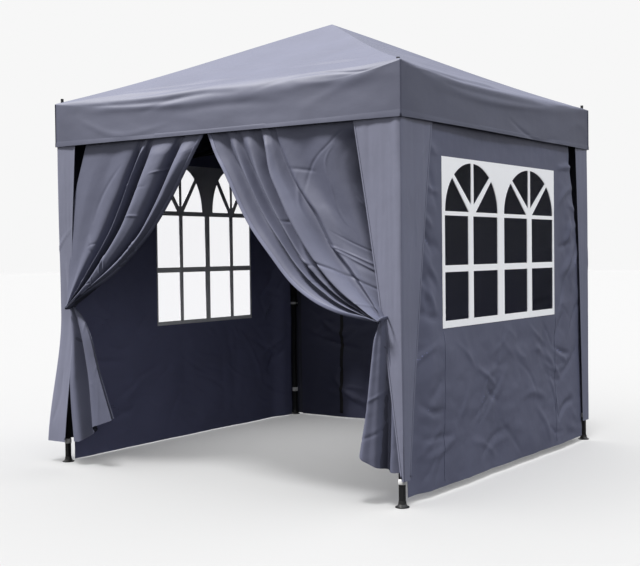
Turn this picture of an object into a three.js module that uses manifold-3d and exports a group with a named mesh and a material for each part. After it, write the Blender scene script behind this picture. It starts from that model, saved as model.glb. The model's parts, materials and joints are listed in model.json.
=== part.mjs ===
// Pop-up gazebo: a square tent on four telescopic legs, with a folding scissor frame, a pyramid roof,
// three walls, two tied-back front curtains and four leg covers.
//
// Millimetres, +Z up. The origin is on the ground at the middle of the plan, -Y is the front, where the
// curtains are, and +X is to the right of somebody who looks at the front.
//
// One side of the frame is built for the front, in a group, and the group is turned four times. In the
// front's own frame +X runs along the side, and the side owns the leg at its +X end.

import * as THREE from "three";
import { mergeVertices } from "three/addons/utils/BufferGeometryUtils.js";
import Module from "manifold-3d";

const wasm = await Module();
wasm.setup();

// ---------------------------------------------------------------- driving dimensions

const LEG_PLANE = 1170; // from the middle to the axis of a leg, along X and along Y
const CANOPY_HALF = 1200; // half the width of the roof cloth
const EAVE_Z = 2160;
const PEAK_Z = 2670;
const VALANCE_BOTTOM_Z = 1895;
const CLOTH = 1.2; // thickness of every sheet of cloth

const OPEN_ANGLE = THREE.MathUtils.degToRad(10); // slope of the scissor bars when the tent is up
const TOP_PIVOT_Z = 2112; // pivots of the corner brackets and of the hub
const CORNER_OFFSET = 52; // from the axis of a leg to the pivots beside it
const HUB_PIVOT_RADIUS = 22;
const MID_PIVOT_INSET = CORNER_OFFSET - HUB_PIVOT_RADIUS; // keeps the roof bars as long as the scissor bars
const BAR_LENGTH = (LEG_PLANE - CORNER_OFFSET) / Math.cos(OPEN_ANGLE);
const LOW_PIVOT_Z = TOP_PIVOT_Z - BAR_LENGTH * Math.sin(OPEN_ANGLE);

const BAR_HEIGHT = 25;
const BAR_THICK = 10;
const BAR_WALL = 0.8;
const LAYER = 6; // from the plane of the legs to the middle of each layer of bars
const PIN_R = 3;
const PIN_HOLE_R = 3.7; // six-sided, so that its flats clear the pin's corners as the bar turns
const RIVET_HEAD_R = 6;
const CHEEK_INNER = 12; // a fork's cheeks stand this far from the middle of the fork
const CHEEK_OUTER = 16;
const NARROW_CHEEK_INNER = 6; // the same for the forks that hold one bar
const NARROW_CHEEK_OUTER = 9;

const UPPER_TUBE = 30;
const LOWER_TUBE = 25;
const TUBE_WALL = 1;
const UPPER_TOP_Z = 2081;
const UPPER_BOTTOM_Z = 840;
const LOWER_TOP_Z = 990;
const COLLAR_SIZE = 38;
const COLLAR_HEIGHT = 56;
const BRACKET_HALF = 19; // half the width of the bracket and of the slider on every leg
const SLIDER_BORE = UPPER_TUBE / 2 + 0.5;
const BUTTON_R = 6;
const BUTTON_TRAVEL = 4;
const BUTTON_PROUD = 3; // how far a button stands out of its boss
const BOSS_OUT = 8; // a boss stands this far out of the face it is on
const BOSS_HALF = 10;
const POCKET_WALL = 1.5; // left between a button's pocket and the bore beside it
const FOOT_R = 35;

const WALL_OUT = 1188.6; // outer faces of the layers of cloth, from the middle of the plan
const COVER_OUT = 1191.5;
const WALL_BOTTOM_Z = 46;
const WALL_TOP_Z = 1960;
const COVER_BOTTOM_Z = 130;

const SIDES = ["front", "right", "back", "left"];
const CORNERS = ["front_right", "back_right", "back_left", "front_left"]; // owned by the side before it

// ---------------------------------------------------------------- materials

const finish = (color, roughness, metalness) =>
  new THREE.MeshStandardMaterial({ color, roughness, metalness });
const blackSteel = finish(0x17181b, 0.45, 0.3);
const blackPlastic = finish(0x101114, 0.6, 0);
const greyPlastic = finish(0x8b8e96, 0.5, 0);
const greyCloth = finish(0x6a6e80, 0.85, 0);

// ---------------------------------------------------------------- solids

// A closed three.js geometry as a manifold-3d solid.
function solid(geometry) {
  const g = geometry.clone();
  g.deleteAttribute("normal");
  g.deleteAttribute("uv");
  const merged = mergeVertices(g, 1e-4);
  return new wasm.Manifold(
    new wasm.Mesh({
      numProp: 3,
      vertProperties: new Float32Array(merged.attributes.position.array),
      triVerts: new Uint32Array(merged.index.array),
    }),
  );
}

function geometryOf(made) {
  const m = made.getMesh();
  return new THREE.BufferGeometry()
    .setAttribute("position", new THREE.BufferAttribute(new Float32Array(m.vertProperties), 3))
    .setIndex(new THREE.BufferAttribute(new Uint32Array(m.triVerts), 1));
}

const union = (first, ...others) => others.reduce((all, next) => all.add(next), first);
const cut = (first, ...others) => others.reduce((all, next) => all.subtract(next), first);

// A box between two corners.
function box(x0, y0, z0, x1, y1, z1) {
  const g = new THREE.BoxGeometry(x1 - x0, y1 - y0, z1 - z0);
  return solid(g.translate((x0 + x1) / 2, (y0 + y1) / 2, (z0 + z1) / 2));
}

// A round bar of radius r along an axis, from a point and over a length.
function rod(r, axis, from, length, sides = 6) {
  const g = new THREE.CylinderGeometry(r, r, length, sides).translate(0, length / 2, 0);
  if (axis === "x") g.rotateZ(-Math.PI / 2);
  if (axis === "z") g.rotateX(Math.PI / 2);
  return solid(g.translate(...from));
}

// A flat outline, a list of [across, up], given a thickness from y0 to y1 along Y.
function plate(outline, y0, y1, holes = []) {
  const shape = new THREE.Shape(outline.map(([x, z]) => new THREE.Vector2(x, z)));
  holes.forEach((hole) => shape.holes.push(new THREE.Path(hole.map(([x, z]) => new THREE.Vector2(x, z)))));
  const g = new THREE.ExtrudeGeometry(shape, { depth: y1 - y0, bevelEnabled: false });
  return solid(g.rotateX(Math.PI / 2).translate(0, y1, 0));
}

// A square tube along Z.
function squareTube(size, wall, z0, z1) {
  const o = size / 2;
  const i = o - wall;
  return cut(box(-o, -o, z0, o, o, z1), box(-i, -i, z0 - 1, i, i, z1 + 1));
}

function named(name, made, material) {
  const mesh = new THREE.Mesh(made.isBufferGeometry ? made : geometryOf(made), material.clone());
  mesh.name = name;
  return mesh;
}

// ---------------------------------------------------------------- scissor bars

// A bar along +X with its middle at the origin: a flat tube, round at both ends, with holes at the pivots
// named in holes (-1, 0 or 1 for the start, the middle or the end) and a rivet through the next layer.
function bar(holes, rivet, towards) {
  const half = BAR_LENGTH / 2;
  const r = BAR_HEIGHT / 2;
  const t = BAR_THICK / 2;
  const outline = new THREE.Shape();
  outline.absarc(half, 0, r, -Math.PI / 2, Math.PI / 2, false);
  outline.absarc(-half, 0, r, Math.PI / 2, (3 * Math.PI) / 2, false);
  const round = new THREE.ExtrudeGeometry(outline, { depth: BAR_THICK, bevelEnabled: false, curveSegments: 3 });
  const skin = solid(round.rotateX(Math.PI / 2).translate(0, t, 0));
  const hollow = box(-half - r - 1, -t + BAR_WALL, -r + BAR_WALL, half + r + 1, t - BAR_WALL, r - BAR_WALL);
  let made = cut(skin, hollow);
  holes.forEach((at) => {
    made = made.subtract(rod(PIN_HOLE_R, "y", [at * half, -t - 1, 0], BAR_THICK + 2));
  });
  if (rivet === undefined) return made;
  // The rivet's shank runs from this bar's far wall through the next layer, and ends in a flat head.
  const reach = 2 * LAYER + t + 1;
  const shank = rod(PIN_R, "y", [rivet * half, towards > 0 ? -t : -reach, 0], reach + t);
  const headAt = towards > 0 ? reach : -reach - 2;
  const head = rod(RIVET_HEAD_R, "y", [rivet * half, headAt, 0], 2, 8);
  return union(made, shank, head);
}

// Puts a bar in the side's plane between two pivots, [x, z] each, in the layer at y.
function placeBar(mesh, from, to, y) {
  mesh.position.set((from[0] + to[0]) / 2, y, (from[1] + to[1]) / 2);
  mesh.rotation.y = -Math.atan2(to[1] - from[1], to[0] - from[0]);
  return mesh;
}

// The four bars of one side: two crossed pairs that meet at the middle of the side.
function scissorBars(side) {
  const outer = -LEG_PLANE - LAYER;
  const inner = -LEG_PLANE + LAYER;
  const reach = LEG_PLANE - CORNER_OFFSET;
  const midTop = [0, TOP_PIVOT_Z];
  const midLow = [0, LOW_PIVOT_Z];
  const bars = [
    placeBar(named(`${side}_rising_bar_a`, bar([-1, 1], 0, 1), blackSteel), midLow, [reach, TOP_PIVOT_Z], outer),
    placeBar(named(`${side}_falling_bar_a`, bar([-1, 0, 1]), blackSteel), midTop, [reach, LOW_PIVOT_Z], inner),
    placeBar(named(`${side}_rising_bar_b`, bar([-1, 1], 0, -1), blackSteel), [-reach, TOP_PIVOT_Z], midLow, inner),
    placeBar(named(`${side}_falling_bar_b`, bar([-1, 0], 1, 1), blackSteel), [-reach, LOW_PIVOT_Z], midTop, outer),
  ];
  return bars;
}

// The roof bar runs inward and up from the side's lower middle pivot to the hub.
function roofBar(side) {
  const mesh = named(`${side}_roof_bar`, bar([-1, 1]), blackSteel);
  const outerY = -LEG_PLANE + MID_PIVOT_INSET;
  const holder = new THREE.Group();
  mesh.rotation.y = -OPEN_ANGLE;
  holder.add(mesh);
  holder.rotation.z = Math.PI / 2;
  holder.position.set(0, (outerY - HUB_PIVOT_RADIUS) / 2, (LOW_PIVOT_Z + TOP_PIVOT_Z) / 2);
  return holder;
}

// The connector at the lower middle of a side: a web with a pin for the two rising bars on its outer face
// and a fork for the roof bar on its inner face.
function midConnector(side) {
  const z0 = LOW_PIVOT_Z - 13;
  const z1 = LOW_PIVOT_Z + 13;
  const webY = -LEG_PLANE + BAR_THICK + 2;
  const pivotY = -LEG_PLANE + MID_PIVOT_INSET;
  const pinStart = -LEG_PLANE - LAYER - BAR_THICK / 2 - 1;
  const made = union(
    box(-NARROW_CHEEK_OUTER, webY, z0, NARROW_CHEEK_OUTER, webY + 3, z1),
    box(-NARROW_CHEEK_OUTER, webY, z0, -NARROW_CHEEK_INNER, pivotY + 8, z1),
    box(NARROW_CHEEK_INNER, webY, z0, NARROW_CHEEK_OUTER, pivotY + 8, z1),
    rod(PIN_R, "x", [-NARROW_CHEEK_OUTER - 2, pivotY, LOW_PIVOT_Z], 2 * NARROW_CHEEK_OUTER + 4),
    rod(PIN_R, "y", [0, pinStart, LOW_PIVOT_Z], webY + 1 - pinStart),
    rod(RIVET_HEAD_R, "y", [0, pinStart - 2, LOW_PIVOT_Z], 2.5, 8),
  );
  return named(`${side}_mid_connector`, made, blackPlastic);
}

// ---------------------------------------------------------------- legs

// The two forks of a corner piece, in the leg's own frame: one along -X for this side and one along +Y for
// the next side, each with its pin.
function forks(z, bodyHalf) {
  const end = CORNER_OFFSET + 9;
  const z0 = z - 14;
  const z1 = z + 14;
  const cheeks = [
    [CHEEK_INNER, CHEEK_OUTER],
    [-CHEEK_OUTER, -CHEEK_INNER],
  ].flatMap(([a, b]) => [box(-end, a, z0, -bodyHalf, b, z1), box(a, bodyHalf, z0, b, end, z1)]);
  const pinStart = -CHEEK_OUTER - 1;
  return union(
    ...cheeks,
    rod(PIN_R, "y", [-CORNER_OFFSET, pinStart, z], -2 * pinStart),
    rod(PIN_R, "x", [pinStart, CORNER_OFFSET, z], -2 * pinStart),
  );
}

// The bracket on top of a leg: a cap with a spigot down the tube, two forks and a post that holds the
// corner of the roof.
function cornerBracket(corner) {
  const half = BRACKET_HALF;
  const spigot = UPPER_TUBE / 2 - TUBE_WALL - 0.4;
  const made = union(
    box(-half, -half, UPPER_TOP_Z + 0.5, half, half, TOP_PIVOT_Z + 22),
    box(-spigot, -spigot, UPPER_TOP_Z - 38, spigot, spigot, UPPER_TOP_Z + 2),
    rod(9, "z", [0, 0, TOP_PIVOT_Z + 20], EAVE_Z + 24 - TOP_PIVOT_Z - 20, 12),
    forks(TOP_PIVOT_Z, half - 1),
  );
  return named(`${corner}_bracket`, made, blackPlastic);
}

// A boss for a button on the -X face of a body, with its pocket and the button itself. face is the
// distance of that face from the axis of the leg, and bore is where the body's bore begins.
function pressButton(face, bore, z) {
  const pocketEnd = bore + POCKET_WALL;
  const out = face + BOSS_OUT;
  const buttonEnd = pocketEnd + BUTTON_TRAVEL + 0.5;
  return {
    boss: box(-out, -BOSS_HALF, z - BOSS_HALF, -face + 1, BOSS_HALF, z + BOSS_HALF),
    pocket: rod(BUTTON_R + 0.5, "x", [-out - 1, 0, z], out + 1 - pocketEnd, 12),
    button: rod(BUTTON_R, "x", [-out - BUTTON_PROUD, 0, z], out + BUTTON_PROUD - buttonEnd, 12),
  };
}

// The sliding bracket that carries the lower ends of the bars up and down the upper leg, and the button
// under its fork that frees it.
function slider(corner) {
  const z0 = LOW_PIVOT_Z - 38;
  const z1 = LOW_PIVOT_Z + 26;
  const half = BRACKET_HALF;
  const press = pressButton(half, SLIDER_BORE, LOW_PIVOT_Z - 26);
  const made = cut(
    union(box(-half, -half, z0, half, half, z1), press.boss, forks(LOW_PIVOT_Z, half - 1)),
    box(-SLIDER_BORE, -SLIDER_BORE, z0 - 1, SLIDER_BORE, SLIDER_BORE, z1 + 1),
    press.pocket,
  );
  return [
    named(`${corner}_slider`, made, blackPlastic),
    named(`${corner}_slider_button`, press.button, greyPlastic),
  ];
}

// The outer tube, with the collar at its lower end, and the collar's button, pressed towards the leg.
function upperLeg(corner) {
  const half = COLLAR_SIZE / 2;
  const bore = LOWER_TUBE / 2 + 0.5;
  const z0 = UPPER_BOTTOM_Z - 10;
  const z1 = z0 + COLLAR_HEIGHT;
  const press = pressButton(half, bore, (z0 + z1) / 2);
  const collar = box(-half, -half, z0, half, half, z1);
  const made = cut(
    union(squareTube(UPPER_TUBE, TUBE_WALL, UPPER_BOTTOM_Z, UPPER_TOP_Z), collar, press.boss),
    box(-bore, -bore, z0 - 1, bore, bore, z1 + 1),
    press.pocket,
  );
  return [
    named(`${corner}_upper_leg`, made, blackSteel),
    named(`${corner}_height_button`, press.button, greyPlastic),
  ];
}

// The inner tube, with the flared foot that is welded to it.
function lowerLeg(corner) {
  const foot = new THREE.LatheGeometry(
    [
      [0, 0],
      [FOOT_R, 0],
      [FOOT_R, 4],
      [FOOT_R - 9, 7],
      [21, 16],
      [19, 30],
      [0, 30],
    ].map(([x, y]) => new THREE.Vector2(x, y)),
    20,
  ).rotateX(Math.PI / 2);
  const made = union(solid(foot), squareTube(LOWER_TUBE, TUBE_WALL, 28, LOWER_TOP_Z));
  return named(`${corner}_lower_leg`, made, blackSteel);
}

// ---------------------------------------------------------------- hub and centre pole

const POLE_R = 7;
const POLE_TRAVEL = 80;
const SOCKET_TOP_Z = TOP_PIVOT_Z + 108;

// The hub: a socket for the centre pole and four forks for the roof bars.
function hub() {
  const z0 = TOP_PIVOT_Z - 16;
  const z1 = TOP_PIVOT_Z + 18;
  const reach = HUB_PIVOT_RADIUS + 9;
  const fork = union(
    box(NARROW_CHEEK_INNER, -reach, z0, NARROW_CHEEK_OUTER, -POLE_R, z1 - 2),
    box(-NARROW_CHEEK_OUTER, -reach, z0, -NARROW_CHEEK_INNER, -POLE_R, z1 - 2),
    rod(PIN_R, "x", [-NARROW_CHEEK_OUTER, -HUB_PIVOT_RADIUS, TOP_PIVOT_Z], 2 * NARROW_CHEEK_OUTER),
  );
  let made = union(
    rod(POLE_R + 2, "z", [0, 0, z0], SOCKET_TOP_Z - z0, 14),
    rod(reach + 1, "z", [0, 0, z1 - 4], 6, 16),
  );
  for (let quarter = 0; quarter < 4; quarter++) made = made.add(fork.rotate([0, 0, 90 * quarter]));
  const bore = rod(POLE_R + 0.5, "z", [0, 0, z0 + 4], SOCKET_TOP_Z - z0, 14);
  return named("roof_hub", made.subtract(bore), blackPlastic);
}

// The pole that lifts the middle of the roof. It slides down into the hub, against a spring.
function centrePole() {
  const capZ = PEAK_Z - 34;
  const z0 = SOCKET_TOP_Z - 32;
  const cap = new THREE.LatheGeometry(
    [
      [0, capZ],
      [26, capZ],
      [26, PEAK_Z - 24],
      [22, PEAK_Z - 16],
      [12, PEAK_Z - 10],
      [0, PEAK_Z - 7],
    ].map(([x, y]) => new THREE.Vector2(x, y)),
    16,
  ).rotateX(Math.PI / 2);
  const made = union(
    rod(POLE_R, "z", [0, 0, z0], capZ + 1 - z0, 14),
    rod(POLE_R + 4, "z", [0, 0, SOCKET_TOP_Z + POLE_TRAVEL + 4], 12, 14),
    solid(cap),
  );
  return named("centre_pole", made, blackSteel);
}

// ---------------------------------------------------------------- cloth

// A square pyramid with its base at z0 and its top at z1.
function pyramid(half, z0, z1) {
  const corners = [
    [-half, -half, z0],
    [half, -half, z0],
    [half, half, z0],
    [-half, half, z0],
    [0, 0, z1],
  ];
  const faces = [0, 2, 1, 0, 3, 2, 0, 1, 4, 1, 2, 4, 2, 3, 4, 3, 0, 4];
  const g = new THREE.BufferGeometry()
    .setAttribute("position", new THREE.BufferAttribute(new Float32Array(corners.flat()), 3))
    .setIndex(faces);
  return solid(g);
}

// The roof and the valance that hangs from its edge, in one piece. The posts of the corner brackets come
// through the roof.
function canopy() {
  const o = CANOPY_HALF;
  const i = o - CLOTH;
  const rise = (PEAK_Z - EAVE_Z) / o;
  const thick = CLOTH * Math.hypot(1, rise);
  const outside = union(box(-o, -o, VALANCE_BOTTOM_Z, o, o, EAVE_Z), pyramid(o, EAVE_Z, PEAK_Z));
  const eave = EAVE_Z + rise * CLOTH - thick;
  const inside = union(box(-i, -i, VALANCE_BOTTOM_Z - 1, i, i, eave), pyramid(i, eave, PEAK_Z - thick));
  let made = cut(outside, inside);
  for (const x of [-LEG_PLANE, LEG_PLANE])
    for (const y of [-LEG_PLANE, LEG_PLANE]) made = made.subtract(rod(12, "z", [x, y, EAVE_Z - 5], 60, 12));
  return named("canopy", made, greyCloth);
}

// The outline of a wall: its sides lean in towards the top.
const WALL_OUTLINE = [
  [-1108, WALL_BOTTOM_Z],
  [1108, WALL_BOTTOM_Z],
  [1112, 900],
  [1085, 1450],
  [1000, WALL_TOP_Z],
  [-1000, WALL_TOP_Z],
  [-1085, 1450],
  [-1112, 900],
];

const wall = (side) => named(`${side}_wall`, plate(WALL_OUTLINE, -WALL_OUT, -WALL_OUT + CLOTH), greyCloth);

// A front curtain: it hangs from behind the valance, sweeps to its tie at the leg and falls below it.
function curtain(name, mirror) {
  const sweep = new THREE.SplineCurve(
    [
      [-70, 1895],
      [-330, 1480],
      [-680, 1110],
      [-1050, 940],
    ].map(([x, z]) => new THREE.Vector2(x, z)),
  )
    .getPoints(9)
    .map((p) => [p.x, p.y]);
  const outline = [
    [-1000, WALL_TOP_Z],
    [-1140, 1000],
    [-1146, 815],
    [-1180, 110],
    [-1060, 130],
    [-880, 280],
    [-1050, 880],
    ...sweep.reverse(),
    [-70, WALL_TOP_Z],
  ].map(([x, z]) => [mirror * x, z]);
  return named(name, plate(outline, -WALL_OUT, -WALL_OUT + CLOTH), greyCloth);
}

// The width of a cover's two flaps at the top and at the bottom: the flap on the side that owns the leg,
// then the one on the next side round.
const COVER_WIDTHS = {
  front_right: { own: [290, 44], next: [318, 96] },
  back_right: { own: [205, 44], next: [290, 60] },
  back_left: { own: [290, 60], next: [290, 60] },
  front_left: { own: [290, 60], next: [150, 44] },
};

// A leg cover: two tapering flaps that meet along the outer edge of the leg.
function legCover(corner) {
  const out = COVER_OUT - LEG_PLANE;
  const flap = ([top, bottom], sign) => {
    const edge = [
      [out, COVER_BOTTOM_Z],
      [out, WALL_TOP_Z],
      [out - top, WALL_TOP_Z],
      [out - top, VALANCE_BOTTOM_Z],
      [out - bottom, COVER_BOTTOM_Z],
    ];
    return plate(
      edge.map(([x, z]) => [sign * x, z]),
      -out,
      -out + CLOTH,
    );
  };
  const { own, next } = COVER_WIDTHS[corner];
  return named(`${corner}_leg_cover`, union(flap(own, 1), flap(next, -1).rotate([0, 0, 90])), greyCloth);
}

// ---------------------------------------------------------------- assembly

const gazebo = new THREE.Group();

SIDES.forEach((side, quarter) => {
  const corner = CORNERS[quarter];
  const sideGroup = new THREE.Group();
  sideGroup.rotation.z = (quarter * Math.PI) / 2;
  sideGroup.add(...scissorBars(side), roofBar(side), midConnector(side));
  if (side !== "front") sideGroup.add(wall(side));

  const legGroup = new THREE.Group();
  legGroup.position.set(LEG_PLANE, -LEG_PLANE, 0);
  legGroup.add(
    cornerBracket(corner),
    ...slider(corner),
    ...upperLeg(corner),
    lowerLeg(corner),
    legCover(corner),
  );
  sideGroup.add(legGroup);
  gazebo.add(sideGroup);
});

gazebo.add(hub(), centrePole(), canopy());
gazebo.add(curtain("front_left_curtain", 1), curtain("front_right_curtain", -1));

export default gazebo;
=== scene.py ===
"""Pop-up gazebo: materials, cloth, windows, straps, floor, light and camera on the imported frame.

Metres, +Z up, front towards -Y. Every sheet of cloth is a grid of points, given a thickness in code.
"""

import json
import math

import bpy
import numpy as np
from mathutils import Matrix, Vector


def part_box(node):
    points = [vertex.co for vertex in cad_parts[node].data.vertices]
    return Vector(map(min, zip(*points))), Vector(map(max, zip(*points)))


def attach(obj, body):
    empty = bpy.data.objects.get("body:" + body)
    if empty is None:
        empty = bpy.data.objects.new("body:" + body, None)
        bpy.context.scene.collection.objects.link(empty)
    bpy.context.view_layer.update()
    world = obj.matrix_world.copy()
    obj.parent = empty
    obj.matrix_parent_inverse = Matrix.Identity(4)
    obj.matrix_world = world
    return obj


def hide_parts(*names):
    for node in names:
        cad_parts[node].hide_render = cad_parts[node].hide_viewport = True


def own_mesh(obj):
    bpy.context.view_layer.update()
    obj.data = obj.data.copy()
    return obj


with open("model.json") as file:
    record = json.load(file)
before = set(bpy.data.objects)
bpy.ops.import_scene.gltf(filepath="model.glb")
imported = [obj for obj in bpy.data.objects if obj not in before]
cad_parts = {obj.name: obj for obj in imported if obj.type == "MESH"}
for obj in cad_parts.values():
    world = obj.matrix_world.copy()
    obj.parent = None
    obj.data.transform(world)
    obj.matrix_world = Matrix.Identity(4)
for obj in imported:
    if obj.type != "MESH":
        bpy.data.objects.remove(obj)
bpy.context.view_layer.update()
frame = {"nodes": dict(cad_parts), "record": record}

# ------------------------------------------------------------------ dimensions, from the frame

lo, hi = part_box("canopy")
HALF = hi[0]  # half the width of the roof
PEAK = hi[2]
VALANCE = lo[2]  # the hem of the valance
EAVE = VALANCE + 0.265
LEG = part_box("front_right_lower_leg")
LEG_X = (LEG[0][0] + LEG[1][0]) / 2  # the axis of a leg, along X and along Y
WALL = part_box("right_wall")[1][0]  # the outer face of the walls
WALL_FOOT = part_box("right_wall")[0][2]
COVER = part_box("front_right_leg_cover")[1][0] + 0.006
COVER_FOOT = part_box("front_right_leg_cover")[0][2]
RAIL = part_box("right_wall")[1][2]  # the top of walls and curtains, behind the valance
CLOTH = 0.0012
SIDES = ("front", "right", "back", "left")
CORNERS = ("front_right", "back_right", "back_left", "front_left")
FOLD = "frame_fold"
FOLDED_SPACING = 0.146  # the span between two legs when the frame is shut, as a share of the open span

# ------------------------------------------------------------------ numbers


def smooth(x):
    x = np.clip(x, 0, 1)
    return x * x * (3 - 2 * x)


def noise(x, y, seed):
    """Smooth noise from -1 to 1 with a cell of one unit."""
    table = np.random.default_rng(seed).random((64, 64)) * 2 - 1
    ix, iy = np.floor(x).astype(int), np.floor(y).astype(int)
    fx, fy = smooth(x - ix), smooth(y - iy)
    at = lambda a, b: table[np.mod(a, 64), np.mod(b, 64)]
    top = at(ix, iy) * (1 - fx) + at(ix + 1, iy) * fx
    bottom = at(ix, iy + 1) * (1 - fx) + at(ix + 1, iy + 1) * fx
    return top * (1 - fy) + bottom * fy


def fractal(x, y, seed, octaves=3):
    return sum(noise(x * 2**k, y * 2**k, seed + k) / 2**k for k in range(octaves)) / 1.75


def spline(points, n):
    """n points on a Catmull-Rom curve through the given ones, which may be arrays of any shape."""
    p = np.asarray(points, float)
    ends = np.concatenate([[2 * p[0] - p[1]], p, [2 * p[-1] - p[-2]]])
    t = np.linspace(0, len(p) - 1, n)
    i = np.minimum(t.astype(int), len(p) - 2)
    f = (t - i).reshape((-1,) + (1,) * (p.ndim - 1))
    a, b, c, d = ends[i], ends[i + 1], ends[i + 2], ends[i + 3]
    return 0.5 * (2 * b + (c - a) * f + (2 * a - 5 * b + 4 * c - d) * f**2 + (3 * b - a - 3 * c + d) * f**3)


def turned(points, quarter):
    """Points turned about Z by quarter turns."""
    c, s = [(1, 0), (0, 1), (-1, 0), (0, -1)][quarter % 4]
    p = np.array(points, float)
    x, y = p[..., 0].copy(), p[..., 1].copy()
    p[..., 0], p[..., 1] = c * x - s * y, s * x + c * y
    return p


# ------------------------------------------------------------------ meshes


def mesh_object(name, verts, faces, materials, slots=None, normals=None, uv=None):
    mesh = bpy.data.meshes.new(name)
    mesh.vertices.add(len(verts))
    mesh.vertices.foreach_set("co", np.asarray(verts, np.float32).ravel())
    faces = np.asarray(faces, np.int32)
    mesh.loops.add(faces.size)
    mesh.loops.foreach_set("vertex_index", faces.ravel())
    mesh.polygons.add(len(faces))
    mesh.polygons.foreach_set("loop_start", np.arange(0, faces.size, faces.shape[1], dtype=np.int32))
    if slots is not None:
        mesh.polygons.foreach_set("material_index", np.asarray(slots, np.int32))
    mesh.update(calc_edges=True)
    mesh.polygons.foreach_set("use_smooth", np.ones(len(faces), bool))
    if uv is not None:
        layer = mesh.uv_layers.new(name="cloth")
        layer.data.foreach_set("uv", np.asarray(uv, np.float32)[faces.ravel()].ravel())
    if normals is not None:
        mesh.normals_split_custom_set(np.asarray(normals, np.float32).tolist())
    for m in materials:
        mesh.materials.append(m)
    obj = bpy.data.objects.new(name, mesh)
    bpy.context.scene.collection.objects.link(obj)
    return obj


def grid_normals(p):
    along = np.gradient(p, axis=1)
    down = np.gradient(p, axis=0)
    n = np.cross(down, along)
    return n / np.maximum(np.linalg.norm(n, axis=2, keepdims=True), 1e-12)


def lengths(p, axis):
    step = np.linalg.norm(np.diff(p, axis=axis), axis=2)
    zero = np.zeros_like(np.take(step, [0], axis=axis))
    return np.cumsum(np.concatenate([zero, step], axis=axis), axis=axis)


def cloth(name, p, outside, inside, n=None, keep=None):
    """A sheet of cloth: rows of points from the top down, each row running from left to right as seen from
    outside. keep marks the quads that exist. The inside gets its own material."""
    rows, cols = p.shape[:2]
    n = grid_normals(p) if n is None else n
    uv = np.stack([lengths(p, 1), -lengths(p, 0)], axis=2)
    index = np.arange(rows * cols).reshape(rows, cols)
    a, b, c, d = index[:-1, :-1], index[1:, :-1], index[1:, 1:], index[:-1, 1:]
    quads = np.stack([a, b, c, d], axis=2)
    keep = np.ones((rows - 1, cols - 1), bool) if keep is None else keep
    front = quads[keep]
    count = rows * cols
    back = front[:, ::-1] + count
    padded = np.pad(keep, 1)
    rims = []
    for shift, pair in (((-1, 0), (3, 0)), ((1, 0), (1, 2)), ((0, -1), (0, 1)), ((0, 1), (2, 3))):
        beside = padded[1 + shift[0] : rows + shift[0], 1 + shift[1] : cols + shift[1]]
        q = quads[keep & ~beside]
        i, j = q[:, pair[0]], q[:, pair[1]]
        rims.append(np.stack([j, i, i + count, j + count], axis=1))
    rims = np.concatenate(rims)
    points, normal = p.reshape(-1, 3), n.reshape(-1, 3)
    verts = np.concatenate([points, points - normal * CLOTH])
    faces = np.concatenate([front, back, rims])
    rim_face = np.cross(verts[rims[:, 1]] - verts[rims[:, 0]], verts[rims[:, 3]] - verts[rims[:, 0]])
    rim_face /= np.maximum(np.linalg.norm(rim_face, axis=1, keepdims=True), 1e-12)
    loops = np.concatenate(
        [normal[front].reshape(-1, 3), -normal[back - count].reshape(-1, 3), np.repeat(rim_face, 4, axis=0)]
    )
    slots = np.concatenate([np.zeros(len(front)), np.ones(len(back)), np.zeros(len(rims))])
    used = np.unique(faces)
    remap = np.zeros(len(verts), int)
    remap[used] = np.arange(len(used))
    both = np.concatenate([uv.reshape(-1, 2)] * 2)
    return mesh_object(
        name, verts[used], remap[faces], [outside, inside], slots=slots, normals=loops, uv=both[used]
    )


def ribbon(name, path, across, normal, width, proud, material):
    """A flat band with rounded edges along a path. across and normal are one vector for each point."""
    path, across, normal = (np.asarray(v, float) for v in (path, across, normal))
    section = np.array([(-0.5, 0), (-0.47, 0.7), (-0.4, 1), (0, 1), (0.4, 1), (0.47, 0.7), (0.5, 0),
        (0, -0.3)])
    rings = (
        path[:, None]
        + across[:, None] * (section[:, 0] * width)[None, :, None]
        + normal[:, None] * (section[:, 1] * proud)[None, :, None]
    )
    rows, k = rings.shape[:2]
    index = np.arange(rows * k).reshape(rows, k)
    nxt = np.roll(index, -1, axis=1)
    quads = np.stack([index[:-1], index[1:], nxt[1:], nxt[:-1]], axis=2).reshape(-1, 4)
    first = rings[0].mean(axis=0)
    last = rings[-1].mean(axis=0)
    verts = np.concatenate([rings.reshape(-1, 3), [first, last]])
    cap0 = [(index[0, i], nxt[0, i], rows * k, rows * k) for i in range(k)]
    cap1 = [(nxt[-1, i], index[-1, i], rows * k + 1, rows * k + 1) for i in range(k)]
    mesh = bpy.data.meshes.new(name)
    tris = [(a, b, c) for a, b, c, _ in cap0 + cap1]
    mesh.from_pydata(verts.tolist(), [], quads.tolist() + tris)
    mesh.validate()
    layer = mesh.uv_layers.new(name="cloth")
    along = np.concatenate([[0], np.cumsum(np.linalg.norm(np.diff(path, axis=0), axis=1))])
    uv = np.concatenate(
        [np.stack(np.meshgrid(section[:, 0] * width, along), axis=2).reshape(-1, 2), [(0, 0), (0, along[-1])]]
    )
    loops = np.zeros(len(mesh.loops), int)
    mesh.loops.foreach_get("vertex_index", loops)
    layer.data.foreach_set("uv", uv[loops].astype(np.float32).ravel())
    mesh.polygons.foreach_set("use_smooth", np.ones(len(mesh.polygons), bool))
    mesh.materials.append(material)
    obj = bpy.data.objects.new(name, mesh)
    bpy.context.scene.collection.objects.link(obj)
    return obj


# ------------------------------------------------------------------ materials


def put(node, values):
    """Sets a node's own sockets by name."""
    for name, value in values.items():
        node.inputs[name].default_value = value


def ramp(nodes, links, source, low, high):
    node = nodes.new("ShaderNodeMapRange")
    put(node, {"From Min": low, "From Max": high})
    links.new(source, node.inputs["Value"])
    return node.outputs["Result"]


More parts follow.
